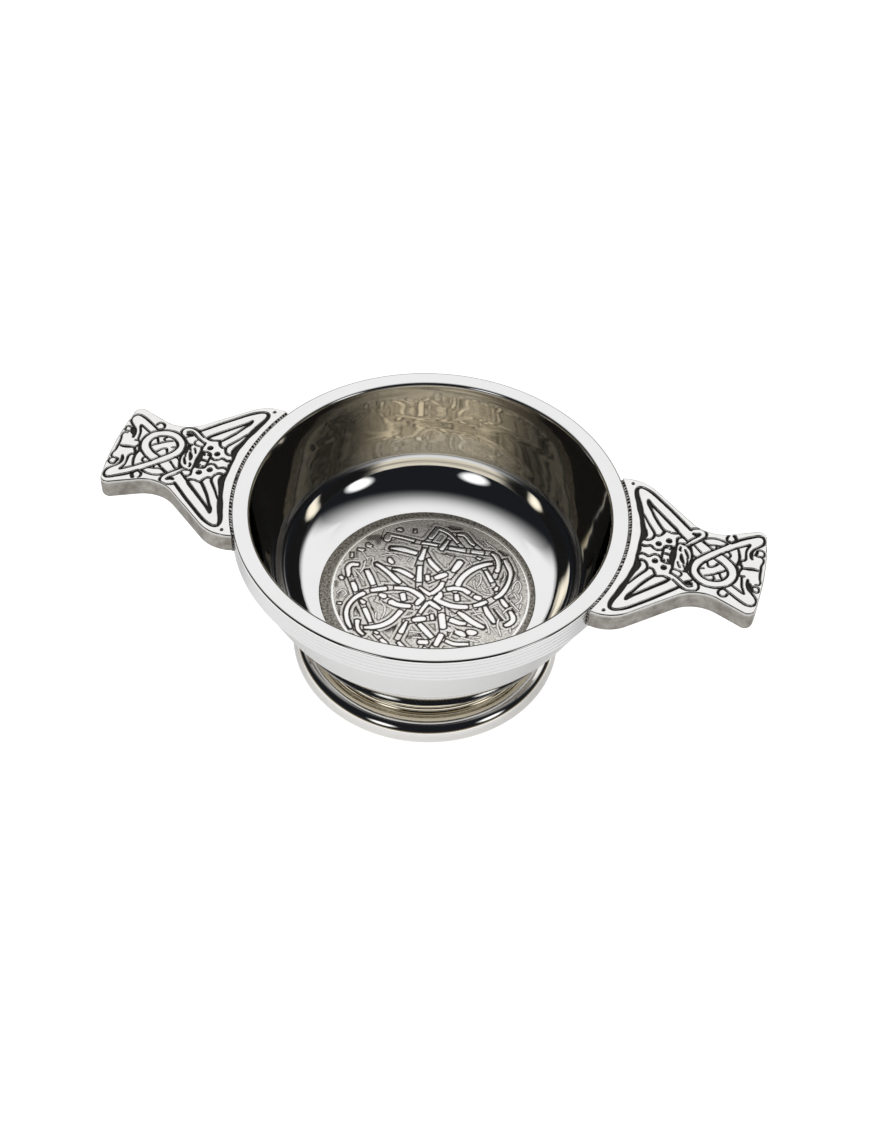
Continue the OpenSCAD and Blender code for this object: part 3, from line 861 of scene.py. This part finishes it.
strokes = [
    [(-13.4, 13.2, 1.3), (-13.4, 14.4, 1.5)],
    [(-13.8, 14.95, .7), (-10, 14.9, .6), (-7, 14.7, .75)],
    [(-5, 14.55, .75), (-3, 14.75, .7), (-1.3, 14.75, .7)],
    [(-3.4, 16.6, 1.05), (-2.9, 18.4, 1.1), (-2.4, 20.2, .9)],
    [(-2, 20.1, .7), (0, 19.5, .65), (1.5, 18.6, .6), (3.4, 16.9, .55)],
    [(0, 13.7, 1.0), (.4, 15.2, .8), (.9, 17, .5)],
    [(-11.8, 17.1, .3), (-11.2, 17.4, .7), (-10.8, 17.1, .4)],
    [(-7.7, 18.3, .3), (-7.5, 17.5, .5)],
    [(-11.8, 10.8, .3), (-10.4, 11.1, .9), (-9, 11.2, 1.3), (-7.5, 11.1, 1.15), (-5.5, 10.9, 1.15)],
    [(-3.9, 13, .7), (-3.9, 11, .95), (-3.95, 9.2, 1.2)],
    [(-11.3, 7.6, .5), (-10.8, 6.8, 1.0), (-10.2, 6.3, .6)],
    [(-13.9, 5, .55), (-12.5, 4.4, .8), (-10, 2.9, .9), (-8, 1.4, 1.15), (-6.9, .7, .7)],
    [(-9.6, 4.4, .25), (-8, 4.5, .9), (-6, 3.9, 1.1), (-4.4, 3.2, .8)],
    [(-3.6, 7.1, .9), (-3.2, 5, 1.0), (-2.6, 2.3, 1.15)],
    [(-1.2, 4.7, .8), (-.7, 3.3, .9)],
    [(-2.2, 10, .6), (-1.1, 8.7, 1.1), (1.2, 6.9, 1.0)],
    [(-18, 3.6, .9), (-19.5, 3.2, 1.0), (-20, 2, .95), (-19.5, .6, .85), (-19.2, -.6, .5)],
    [(-15.5, 2.4, .8), (-14.2, .6, 1.15), (-12.8, -1.5, 1.0)],
    [(-17.6, 10.8, .3), (-17.2, 10.2, .9), (-16.5, 10.3, .3)],
    [(-19.3, 8.4, .3), (-18.5, 8.4, .7), (-17.9, 8.6, .3)],
    [(-20.4, 6.8, .4), (-20.1, 5.6, .5)],
    [(-20.9, -1.2, .7), (-20.4, -1.7, .7)],
    [(-2.1, .6, .3), (-.4, -.4, .75), (.9, -1, .9)],
    [(2.7, 19.5, .4), (3.7, 19.8, .8), (4.4, 19.8, .9), (5.4, 19, .85), (6.5, 17.8, .8), (7.4, 17.2, .4)],
    [(1.7, 14.7, .85), (5.7, 14.9, 1.1)],
    [(7.2, 15.1, 1.05), (10.1, 15.4, 1.2)],
    [(9, 13.4, .4), (9.8, 13.2, .7)],
    [(12, 15.7, .4), (13.3, 15, 1.0), (14.2, 13.4, .95), (14.6, 11.6, .85), (14.5, 10.4, 1.0)],
    [(15.6, 14.5, .8), (16.8, 12.8, 1.1), (17.8, 10.9, .85), (18, 9, .7), (17.9, 7, .75), (17.5, 5, .9),
     (16.9, 3.4, .95), (15.9, 2, .7)],
    [(12.9, 12.6, .6), (11.5, 11.9, 1.0), (9.6, 10.4, 1.2), (8.3, 8.8, 1.2), (7.3, 7, 1.2),
     (6.7, 5.2, 1.2), (6.5, 3.7, 1.3)],
    [(11.9, 9.9, .6), (13, 8.5, .8), (14.1, 6.9, .95)],
    [(15.7, 5.6, .5), (15.5, 4.5, .7)],
    [(5.4, 11.1, 1.4), (4.9, 9.2, 1.4), (4.4, 7.6, .8)],
    [(1, 4.5, 1.1), (2, 5.4, 1.35), (2.9, 6.2, 1.1)],
    [(2.9, 3.5, .8), (2.7, 2, 1.0), (2, .6, .9), (1.2, -.6, .9)],
    [(4.6, 1.8, 1.1), (6, 2.5, 1.0), (8, 2.65, 1.0), (9.6, 2, 1.2)],
    [(6.9, .7, .85), (7.5, -1, 1.0)],
    [(11.3, 1.2, 1.0), (12.4, 1, 1.3)],
    [(11.7, -1.6, .7), (13, -.7, 1.0), (14.2, .5, .7)],
    [(17.5, 2.1, .6), (18.3, 1.1, 1.0), (19.1, .3, .8)],
    [(3.1, .5, .4), (3.2, -.8, 1.2), (2.7, -1.5, 1.1)],
    [(2.2, -1.8, .9), (4.2, -2.6, 1.1), (6.5, -3, 1.2), (8.5, -2.8, 1.2), (10.1, -2.4, 1.1)],
    [(-.9, -9.6, .9), (.2, -9, 1.3), (1.4, -8.5, 1.1)],
    [(0, -7.1, .6), (.4, -5.4, .7), (1, -3.5, .8)],
    [(1.2, -3.2, .9), (2.8, -4, 1.0), (4.3, -4.7, .5)],
    [(5, -6.2, 1.35), (5.6, -8, 1.35), (6.3, -10, 1.3)],
    [(2.8, -6.9, .6), (3.3, -8.2, .7)],
    [(7.4, -7.2, 1.2), (9.5, -7.6, 1.1), (11, -7.4, .6)],
    [(8.6, -4.5, .6), (10, -5.2, 1.2), (12, -6.3, 1.2), (14, -7.1, 1.1), (15.3, -7.4, .6)],
    [(14.2, -1.2, .7), (15.3, -2.9, 1.1), (16.5, -4.2, 1.0), (17.4, -5.3, .5)],
    [(20.2, -1, .6), (21.2, -2.4, 1.0), (21.4, -3.6, 1.0), (20.8, -4.8, 1.0), (20.1, -5.4, .7)],
    [(12.1, -9.5, .7), (12.9, -9.7, 1.5), (13.9, -9.4, .7)],
    [(9.5, -10.4, .8), (10.7, -10.6, 1.3), (11.7, -11, .5)],
    [(.7, -10.4, .9), (2.5, -11.9, 1.2), (4.5, -13.5, .9)],
    [(6.4, -12.1, 1.1), (6.1, -14, 1.1), (5.9, -15.5, .9)],
    [(7.8, -13.6, .7), (10, -14, .8), (13, -13.2, .6)],
    [(-2.3, -10.4, .4), (-2.6, -12.5, .9), (-2.8, -13.9, 1.1)],
    [(1.9, -15.6, 1.0), (3.8, -15.2, 1.1)],
    [(-17.7, -2.2, .8), (-16.9, -3.4, 1.1), (-16.3, -4.5, .8)],
    [(-12.7, -3.4, .9), (-11.4, -2.7, 1.1), (-9.6, -1.9, 1.1)],
    [(-10.4, -4.1, .8), (-9.3, -4.4, 1.3)],
    [(-7.7, -1.2, .9), (-5, -.7, .9), (-3, -1.1, 1.0), (-1.2, -2, 1.1), (-.2, -2.7, .5)],
    [(-.5, -2.7, .9), (-1, -3.6, 1.1), (-1.4, -4.7, .8)],
    [(-5.4, -2.5, 1.1), (-4.6, -4.3, 1.0)],
    [(-7.5, -5.6, 1.4), (-6, -6, 1.1), (-4.4, -6, 1.1), (-2.8, -5.7, 1.0)],
    [(-14.2, -4.7, 1.1), (-15.4, -6, 1.0), (-16.3, -7.8, .8), (-16.7, -9.6, .75), (-16.6, -11.3, .8),
     (-16.1, -12.9, .8), (-15.3, -14.4, .8), (-14.3, -15.7, .4)],
    [(-11.3, -14.8, .5), (-9.5, -14.2, 1.0), (-7.6, -13.1, 1.1), (-6, -11.4, 1.1), (-5.1, -9.6, 1.0),
     (-4.4, -7.7, 1.1)],
    [(-13.4, -13.2, 1.0), (-13.1, -14.5, .7), (-12.4, -15.9, .7), (-11, -16.9, .4)],
    [(-12.8, -9.2, .9), (-11.7, -10.8, 1.0), (-10.4, -12.8, .6)],
    [(-14.3, -7, .5), (-13.4, -7.6, .9)],
    [(-19.2, -9.3, .4), (-18.6, -9.2, .5)],
    [(-8.6, -15.4, .4), (-7.9, -15.6, .6)],
    [(-6.6, -17.2, .7), (-5.5, -18, .9), (-4.4, -19.2, .9), (-3.5, -20, .6)],
    [(-2.6, -16.9, .6), (-1, -18.2, .8), (2, -20, .6)],
    [(3.2, -20, .8), (3.9, -16.8, .9)],
]
threads = [
    [(9.9, 6.2, .2), (10.1, 5, .25), (10.8, 3.6, .2)],
    [(10.1, 7.7, .2), (10.8, 8.4, .25), (11.4, 7.2, .25), (11.4, 5.6, .25), (11, 4.3, .2)],
    [(10.2, 6.8, .2), (10.8, 6.1, .2)],
    [(11.9, 5, .2), (12.7, 3.9, .3), (13.5, 3.4, .2)],
    [(13.3, 4.4, .2), (14.5, 5.3, .25)],
    [(12.4, 2.9, .2), (14, 2.7, .3), (15.2, 3.3, .2)],
    [(16.3, 10.5, .2), (16.7, 9, .25), (16.4, 7.8, .2)],
    [(19.3, 5.9, .25), (19.3, 7.3, .3), (20, 8.8, .3), (20.8, 7.9, .3), (21.1, 6.6, .25), (20.8, 5, .2)],
    [(21.4, 5, .2), (22, 3.6, .3), (21.7, 2.4, .3), (21, 1.5, .25)],
    [(19.9, 4.7, .3), (21, 3.2, .3)],
    [(18.6, 3.8, .25), (19.2, 4.7, .25)],
    [(22.3, 1.8, .25), (22.2, .4, .25)],
    [(19.9, 1.7, .3), (21, .7, .3), (22.1, -.3, .25)],
    [(18.8, -1.9, .3), (19.4, -.6, .3), (20.4, .4, .25)],
    [(15.8, -1, .25), (17, .1, .25)],
    [(17, -1.4, .3), (18.4, -2.7, .35), (19.8, -4, .3)],
    [(13.2, -4.3, .3), (15, -5.3, .35), (16.3, -7, .3), (17, -8.8, .25)],
    [(16.8, -6.8, .25), (18.4, -8.4, .25)],
    [(18.1, -4, .3), (18.3, -6, .3), (18.9, -7.2, .3), (19.7, -8.8, .25)],
    [(21.3, -5.8, .25), (21.6, -7.2, .25)],
    [(11.9, -4.5, .25), (13.8, -3.3, .3)],
    [(11.6, -2.7, .25), (12.6, -3.7, .25)],
    [(11, -11.7, .3), (13, -11.9, .35), (15, -11.9, .3)],
    [(12.8, -11, .25), (15, -10.6, .3)],
    [(8.6, -11, .3), (8.4, -12.3, .3)],
    [(8.1, -9.2, .25), (9.4, -10, .25)],
    [(6.9, -5.2, .3), (7.4, -6, .3), (8.3, -5.4, .3)],
    [(-1, -13.1, .25), (.6, -12.9, .3), (1.8, -12.7, .25)],
    [(.2, -14.6, .25), (2, -14.3, .3)],
    [(-9.9, -6, .25), (-8.4, -7.5, .3), (-8, -9.4, .3), (-8.2, -11, .2)],
    [(-1.9, -5.4, .3), (-1.5, -6.6, .25)],
    [(-9.9, -9.6, .25), (-9.6, -11.2, .25)],
    [(-20.3, -6.3, .25), (-19.4, -5, .25), (-18.2, -5.8, .25), (-18.6, -7, .25)],
    [(-18.8, 2.2, .25), (-17, .8, .3), (-15.2, -1.1, .25)],
    [(-17.2, -.4, .2), (-18.6, -1.6, .2)],
    [(-16.6, 5.2, .3), (-16.5, 3, .4), (-16.8, 1.4, .25)],
    [(-16.3, 6.4, .3), (-15.4, 6.9, .3), (-14.9, 6, .3), (-14.7, 4.4, .25), (-13.2, 2.6, .2)],
    [(-18.2, 8, .3), (-16.9, 6.6, .3), (-16.2, 5.8, .25)],
    [(-17, 10, .3), (-15, 8.9, .25)],
    [(-13.8, 9.7, .25), (-11.9, 9.3, .3), (-11, 9.4, .2)],
    [(-13.6, 7.6, .3), (-12.4, 8.4, .35), (-10.6, 9, .3), (-8.6, 8.2, .2)],
    [(-6.7, 7.8, .2), (-6.2, 9.2, .25)],
    [(-11.7, 13.7, .2), (-10.6, 13.2, .2)],
    [(7.6, 11.8, .2), (8.1, 10.9, .25)],
    [(1.6, 12.1, .25), (2.4, 12, .3)],
    [(2.7, 9.4, .2), (3, 8.4, .25)],
    [(9.4, 19.3, .2), (11, 17.7, .3)],
    [(10.4, 18.6, .2), (12.6, 17.3, .3)],
    [(8, 19.3, .2), (9.6, 19.6, .2)],
    [(-5, 20.4, .2), (-4.2, 19.6, .25)],
]
shades = [
    [(.4, 21.4, 1.0), (3, 21.4, 1.1)],
    [(-17.6, 12.6, 1.6), (-15.6, 13.2, 2.0), (-15.2, 11.4, .7)],
    [(13.6, 17, .7), (15.8, 16.1, 1.0)],
    [(9, 19, .5), (12.4, 17.5, .7)],
    [(18.7, 11.3, .5), (20, 9.6, .8)],
    [(14.6, 8.9, 1.0), (15.3, 8.2, 1.0)],
    [(16.3, -1.6, .8), (17.5, -2.6, .9), (18.9, -4.3, .9)],
    [(19.3, 2.7, .6), (20.4, 3.6, .5)],
    [(20.4, .9, .4), (21.6, -.6, .4)],
    [(-21.4, -3, .6), (-21.2, -4.2, .8)],
    [(-19.6, -6, .6), (-19.8, -7.6, .7)],
    [(-18.7, -10.5, .7), (-17.9, -12.6, .8)],
    [(-5.9, -14.4, .8), (-4.5, -12.9, .9)],
    [(-.5, -14.8, 1.0), (1.7, -13.4, .8)],
    [(-19.4, 7.6, .4), (-19, 6, .4)],
    [(-14.8, -9.9, .6), (-13.9, -10.8, .6)],
    [(-11.4, -8.6, .5), (-10.9, -8.9, .5)],
    [(.8, 12.6, .7), (3.6, 12.5, .5)],
]


def run_on(lines):
    """The longer of the lines, with each end that points at another line carried straight on to pass
    under it."""
    longer = []
    for number, points in enumerate(lines):
        p = np.array(points, float)
        way = np.array([p[0] - p[1], p[-1] - p[-2]]) * [1, 1, 0]
        ends = p[[0, -1]] + way * under_reach / np.hypot(*way[:, :2].T)[:, None]
        others = lines[:number] + lines[number + 1:]
        meets = clearance(ends[:, 0], ends[:, 1], others) < under_meet
        if np.hypot(*np.diff(p[:, :2], axis=0).T).sum() > long_stroke:
            p[:, 2] = ends[:, 2] = p[:, 2].max()
            longer.append(np.vstack([ends[:1][meets[:1]], p, ends[1:][meets[1:]]]))
    return longer


def bank(gap, middle, reach):
    """A rounded bank from 0 to 1 that runs where gap is near middle and ends at reach on both sides."""
    return smooth(1 - np.abs(gap - middle) / reach)


def stamping(x, y):
    """Height share of the stamp, from 0 in the outlines to 1 on the strokes, and how far it is border.
    Strokes stand over strands that pass under them, and a rail and a ditch run beside both."""
    from_middle = np.hypot(x - stamp_middle[0], y - stamp_middle[1])
    gap = clearance(x, y, strokes, True)
    under_gap = clearance(x, y, run_on(strokes), True)
    fine = clearance(x, y, threads)
    hatch = 0.44 + 0.05 * np.sin(9 * (x + 0.6 * y)) * np.sin(1.3 * x - 2.1 * y)
    shade = smooth(0.6 - clearance(x, y, shades) / 0.9) * (0.75 + 0.25 * np.sin(13 * (x - 0.3 * y)))
    rail = rail_rise * bank(under_gap, rail_gap, rail_w) - ditch_fall * bank(under_gap, ditch_gap, ditch_w)
    ground = np.maximum(hatch + rail - shade_fall * shade, ground_least)
    ground = ground * smooth((under_gap - under_outline_w) / outline_fade)
    strand = strand_height * smooth(0.5 - under_gap / stamp_shoulder)
    ground = np.maximum(ground, strand) * smooth((gap - outline_w) / outline_fade)
    beside = np.maximum(ground * smooth((fine - 0.1) / 0.2), thread_height * smooth(0.6 - fine / 0.15))
    stamp = np.maximum(smooth(0.5 - gap / stamp_shoulder), beside)
    edge_line = smooth((0.5 * ring_w - np.abs(from_middle - ring_r)) / stamp_shoulder + 0.5)
    dull = smooth((from_middle - border_start) / edge_w)
    within = from_middle < ring_r - 0.5 * ring_w - 0.1
    return np.where(within, stamp, np.maximum(edge_line, border_height * dull)), dull


def roundel_mesh():
    """Square grid drawn into a disc by x = u sqrt(1 - v v / 2), y = v sqrt(1 - u u / 2), lifted by the
    stamp, with a rim carried down round it and one flat face underneath."""
    share = np.linspace(-1, 1, roundel_steps)
    u, v = (grid.ravel() for grid in np.meshgrid(share, share, indexing="ij"))
    x = roundel_r * u * np.sqrt(1 - v * v / 2)
    y = roundel_r * v * np.sqrt(1 - u * u / 2)
    stamp, dull = stamping(x, y)
    rolled = edge_fall * smooth((np.hypot(x, y) - roundel_r + edge_w) / edge_w)
    z = roundel_top_z - stamp_depth * (1 - stamp) - rolled
    index = np.arange(roundel_steps ** 2).reshape(roundel_steps, roundel_steps)
    top_loop = sheet_border(index)
    low_loop = roundel_steps ** 2 + np.arange(len(top_loop))
    under = np.column_stack([x[top_loop], y[top_loop], np.full(len(top_loop), roundel_under_z)])
    points = np.vstack([np.column_stack([x, y, z]), under])
    faces = sheet_faces(index) + skirt_faces(top_loop, low_loop) + [low_loop[::-1].tolist()]
    none = np.zeros(len(under))
    marks = {"carving": np.concatenate([stamp, none]), "casting": np.concatenate([dull, none + 1])}
    return points, faces, marks


def antiqued_pewter():
    """Roundel metal: bright strokes with dark outlines on a brown-grey ground, and a dull grained border."""
    material, tree, shader = new_material("antiqued_roundel")
    place = place_of(tree)
    carving = mark(tree, "carving")
    casting = mark(tree, "casting")
    sunk = ramp(tree, carving, 0.06, 0.42)
    crest = ramp(tree, carving, 0.45, 0.9)
    grain = noise(tree, place, 1800.0, 5.0, 0.7)
    cloud = noise(tree, place, 170.0, 4.0, 0.6)
    speck = ramp(tree, grain, 0.42, 0.56)
    mottled = blend(tree, ramp(tree, cloud, 0.35, 0.65), ground_worn, ground_clear)
    ground = blend(tree, speck, ground_brown, mottled)
    low = blend(tree, sunk, outline_black, ground)
    raised = blend(tree, crest, low, stroke_bright)
    border = blend(tree, speck, border_dark, border_light)
    gloss = between(tree, casting, between(tree, crest, 0.32, 0.14), 0.4)
    feed(tree, shader, base_color=blend(tree, casting, raised, border), roughness=gloss,
         metallic=between(tree, crest, 0.78, 0.95), normal=bumped(tree, 0.3, 0.00004, grain))
    return material


roundel_points, roundel_faces, roundel_marks = roundel_mesh()
roundel_metal = antiqued_pewter()
new_piece("stamped_roundel", roundel_points, roundel_faces, "roundel", "antiqued_pewter",
          roundel_metal, roundel_marks)

# Roundel solder: the thin film of soft solder that holds the roundel in its seat. No side shows it,
# so it keeps its CAD shape and takes the grey of the foot's seam.
roundel_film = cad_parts["roundel_solder"].data.materials
roundel_film.clear()
roundel_film.append(seam_grey)

# Studio: a white table under a dome that is bright high behind the bowl, brown along the horizon and
# dark towards the viewer but for two small soft lights, which draw the highlights on cove and bead.
table_half = 4.0
table_glow = 0.88
table_sheen = 0.74
lug_shade = 0.42
lug_shade_from = 0.01
lug_shade_to = 0.037
white = (1.0, 1.0, 1.0, 1)
table_white = (0.8, 0.8, 0.8, 1)
dome_dark = (0.012, 0.013, 0.016, 1)
horizon_brown = (0.34, 0.285, 0.19, 1)
panel_turn = 172
panel_rise = 48
spots = ((-30, 28, 1.5), (53, 26, 1.6))
view_side = np.array([0.214, -0.977])
view_right = np.array([0.977, 0.214])

table_mesh = bpy.data.meshes.new("table")
corners = table_half * np.array([[-1, -1, 0], [1, -1, 0], [1, 1, 0], [-1, 1, 0]])
table_mesh.from_pydata(corners.tolist(), [], [(0, 1, 2, 3)])
table = bpy.data.objects.new("table", table_mesh)
bpy.context.scene.collection.objects.link(table)


def seen_glow(tree):
    """Full glow for rays from the camera and through glass, less for gloss, least below the lugs, and none
    for light that falls on things."""
    across = add(tree, "ShaderNodeSeparateXYZ", place_of(tree)).outputs["Y"]
    beside = ramp(tree, reckon(tree, "ABSOLUTE", across), lug_shade_from, lug_shade_to)
    path = add(tree, "ShaderNodeLightPath").outputs
    seen = reckon(tree, "MAXIMUM", path["Is Camera Ray"], path["Is Transmission Ray"])
    full = reckon(tree, "MULTIPLY", seen, table_glow)
    less = reckon(tree, "MULTIPLY", path["Is Glossy Ray"], between(tree, beside, lug_shade, table_sheen))
    return reckon(tree, "MAXIMUM", full, less)


table_paint, tree, shader = new_material("white_table", base_color=table_white, roughness=0.9,
                                         emission_color=white)
shader.inputs["Specular IOR Level"].default_value = 0.0
feed(tree, shader, emission_strength=seen_glow(tree))
table_mesh.materials.append(table_paint)


def towards(tree, ray, turn, rise):
    """Cosine between a ray and the direction at a turn to the right of the camera's side and a rise above
    the table, in degrees."""
    along, up = polar(rise)
    side, right = polar(turn)
    flat = along * (side * view_side + right * view_right)
    return vector(tree, "DOT_PRODUCT", ray, (flat[0], flat[1], up))


def eased(tree, value, low, high):
    """Share that goes from 0 to 1 as value goes from low to high, with level ends."""
    return ramp(tree, value, low, high, "SMOOTHSTEP")


world = bpy.data.worlds.new("studio")
bpy.context.scene.world = world
world.use_nodes = True
tree = world.node_tree
tree.nodes.clear()
ray = add(tree, "ShaderNodeTexCoord").outputs["Generated"]
ray_rise = add(tree, "ShaderNodeSeparateXYZ", ray).outputs["Z"]
heading = vector(tree, "NORMALIZE", vector(tree, "MULTIPLY", ray, (1, 1, 0)))
panel = eased(tree, towards(tree, ray, panel_turn, panel_rise), 0.34, 0.97)
flank = eased(tree, towards(tree, heading, panel_turn, 0), 0.05, 0.5)
sheet = reckon(tree, "MULTIPLY", flank, eased(tree, ray_rise, 1.0, 0.8))
wide = reckon(tree, "MAXIMUM", panel, sheet)
glow = reckon(tree, "MULTIPLY", wide, eased(tree, ray_rise, 0.4, 0.53))
dome = blend(tree, eased(tree, ray_rise, 0.2, 0.03), dome_dark, horizon_brown)
dome = blend(tree, glow, dome, white)
for turn, rise, strength in spots:
    spot = eased(tree, towards(tree, ray, turn, rise), 0.98, 1.0)
    dome = blend(tree, spot, dome, (strength, strength, strength, 1))
is_seen = add(tree, "ShaderNodeLightPath").outputs["Is Camera Ray"]
background = add(tree, "ShaderNodeBackground", blend(tree, is_seen, dome, white), 1.0)
tree.links.new(background.outputs[0], add(tree, "ShaderNodeOutputWorld").inputs[0])

camera_place = (0.055992, -0.255618, 0.320812)
camera_right = (0.96953, 0.24290, 0.03170)
camera_up = (-0.20205, 0.71981, 0.66411)
camera_back = (0.13849, -0.65028, 0.74696)
lens_data = bpy.data.cameras.new("camera")
lens_data.sensor_width = 36.0
lens_data.lens = 54.01
lens_data.clip_start = 0.01
camera = bpy.data.objects.new("camera", lens_data)
bpy.context.scene.collection.objects.link(camera)
camera_axes = Matrix(np.column_stack([camera_right, camera_up, camera_back]).tolist()).to_4x4()
camera.matrix_world = Matrix.Translation(camera_place) @ camera_axes
bpy.context.scene.camera = camera
bpy.context.scene.view_settings.view_transform = "Standard"
